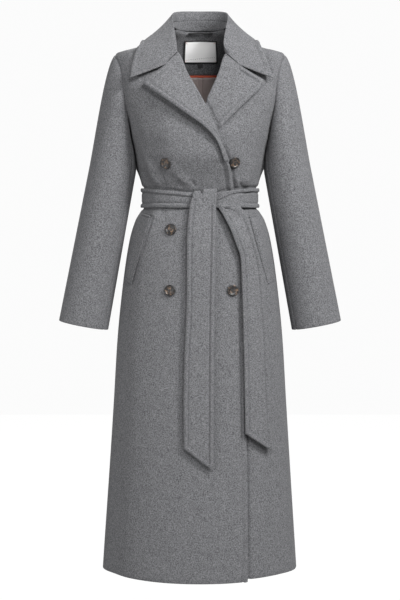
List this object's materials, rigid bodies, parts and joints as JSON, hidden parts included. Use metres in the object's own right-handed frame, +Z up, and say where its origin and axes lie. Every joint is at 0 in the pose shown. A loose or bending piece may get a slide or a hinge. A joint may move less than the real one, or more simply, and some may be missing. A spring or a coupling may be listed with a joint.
{
  "type": "wrap coat",
  "caption": "Long belted wool wrap coat with a notched collar, double-breasted buttons and slanted welt pockets, filled out as worn with its hollows open.",
  "frame": {"origin": "middle of the neck, level with the highest points of the shoulders, where the wearer's shoulders hold the coat", "axes": "+Z up along the body, the front faces -Y, +X is towards the wearer's left"},
  "size_m": [0.6474, 0.3173, 1.2922],
  "materials": {
    "wool": "brushed grey wool melange, matt",
    "piping": "satin bias tape",
    "lining": "satin lining",
    "label": "woven label",
    "tab": "woven tab",
    "loop": "braided cord",
    "button": "polished mottled brown"
  },
  "bodies": {
    "root": {"front_right": "wool", "front_left": "wool", "back": "wool", "top_sleeve_right": "wool", "under_sleeve_right": "wool", "top_sleeve_left": "wool", "under_sleeve_left": "wool", "lapel_right": "wool", "lapel_left": "wool", "collar_fall": "wool", "collar_stand": "wool", "back_neck_facing": "wool", "neck_piping": "piping", "half_lining": "lining", "label": "label", "size_tab": "tab", "hanger_loop": "loop", "pocket_welt_right": "wool", "pocket_welt_left": "wool", "belt_band": "wool", "belt_tail_over": "wool", "belt_tail_under": "wool", "button_1": "button", "button_2": "button", "button_3": "button", "button_4": "button", "button_5": "button", "button_6": "button"}
  },
  "joints": []
}
